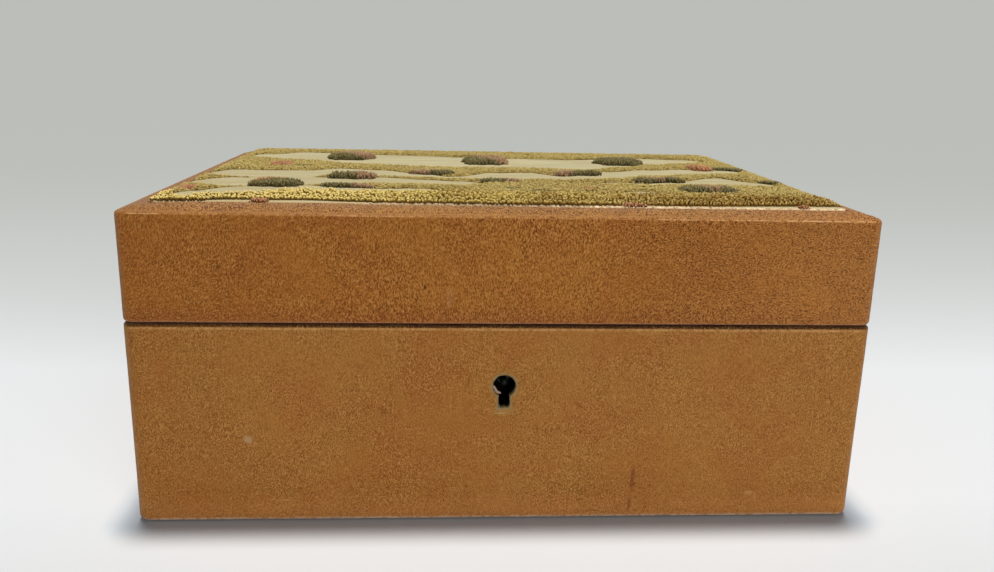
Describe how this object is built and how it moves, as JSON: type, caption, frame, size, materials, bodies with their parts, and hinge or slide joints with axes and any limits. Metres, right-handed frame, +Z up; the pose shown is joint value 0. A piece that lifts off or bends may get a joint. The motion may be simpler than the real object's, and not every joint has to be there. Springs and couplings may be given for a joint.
{
  "type": "jewelry box",
  "caption": "Rectangular leather covered jewelry box with a hinged lid, a textile lid panel, a box lock and a velvet lined inside with ring rolls and compartments.",
  "frame": {"origin": "middle of the resting face under the box", "axes": "+X to the right seen from the keyhole side, +Y to the hinges at the back, +Z up"},
  "size_m": [0.2, 0.15, 0.0906],
  "materials": {
    "leather": "tan goat grain, waxed, worn at the edges",
    "carcass_wood": "planed, unfinished",
    "felt": "pressed felt",
    "velvet": "short pile velvet",
    "velvet_wood": "wood covered with short pile velvet",
    "satin": "padded satin",
    "moquette": "gold loop pile in bands on a cream ground, with cut pile tufts",
    "brass": "aged satin brass",
    "steel": "darkened steel"
  },
  "bodies": {
    "base": {"bottom_board": "carcass_wood", "front_wall": "carcass_wood", "back_wall": "carcass_wood", "left_wall": "carcass_wood", "right_wall": "carcass_wood", "base_leather": "leather", "bottom_felt": "felt", "front_lining": "velvet", "back_lining": "velvet", "left_lining": "velvet", "right_lining": "velvet", "main_divider": "velvet_wood", "cross_divider": "velvet_wood", "ring_bed": "velvet_wood", "ring_roll_1": "velvet", "ring_roll_2": "velvet", "ring_roll_3": "velvet", "ring_roll_4": "velvet", "front_pad": "velvet", "rear_pad": "velvet", "left_base_leaf": "brass", "right_base_leaf": "brass", "left_hinge_pin": "brass", "right_hinge_pin": "brass", "left_base_leaf_screw_1": "brass", "left_base_leaf_screw_2": "brass", "right_base_leaf_screw_1": "brass", "right_base_leaf_screw_2": "brass", "lock_plate": "brass", "lock_case": "brass", "drill_pin": "steel", "lock_screw_1": "brass", "lock_screw_2": "brass"},
    "lid": {"lid_front_wall": "carcass_wood", "lid_back_wall": "carcass_wood", "lid_left_wall": "carcass_wood", "lid_right_wall": "carcass_wood", "lid_top_board": "carcass_wood", "lid_leather": "leather", "textile_panel": "moquette", "lid_front_lining": "velvet", "lid_back_lining": "velvet", "lid_left_lining": "velvet", "lid_right_lining": "velvet", "lid_pad": "satin", "left_lid_leaf": "brass", "right_lid_leaf": "brass", "left_lid_leaf_screw_1": "brass", "left_lid_leaf_screw_2": "brass", "right_lid_leaf_screw_1": "brass", "right_lid_leaf_screw_2": "brass", "link_plate": "brass", "link_screw_1": "brass", "link_screw_2": "brass"},
    "bolt": {"lock_bolt": "steel"}
  },
  "joints": [
    {"name": "lid_hinge", "type": "hinge", "parent": "base", "child": "lid", "pos_m": [0, 0.0724, 0.0571], "axis": [-1, 0, 0], "range_deg": [0, 100]},
    {"name": "bolt_slide", "type": "slide", "parent": "base", "child": "bolt", "axis": [1, 0, 0], "range_m": [0, 0.003]}
  ]
}
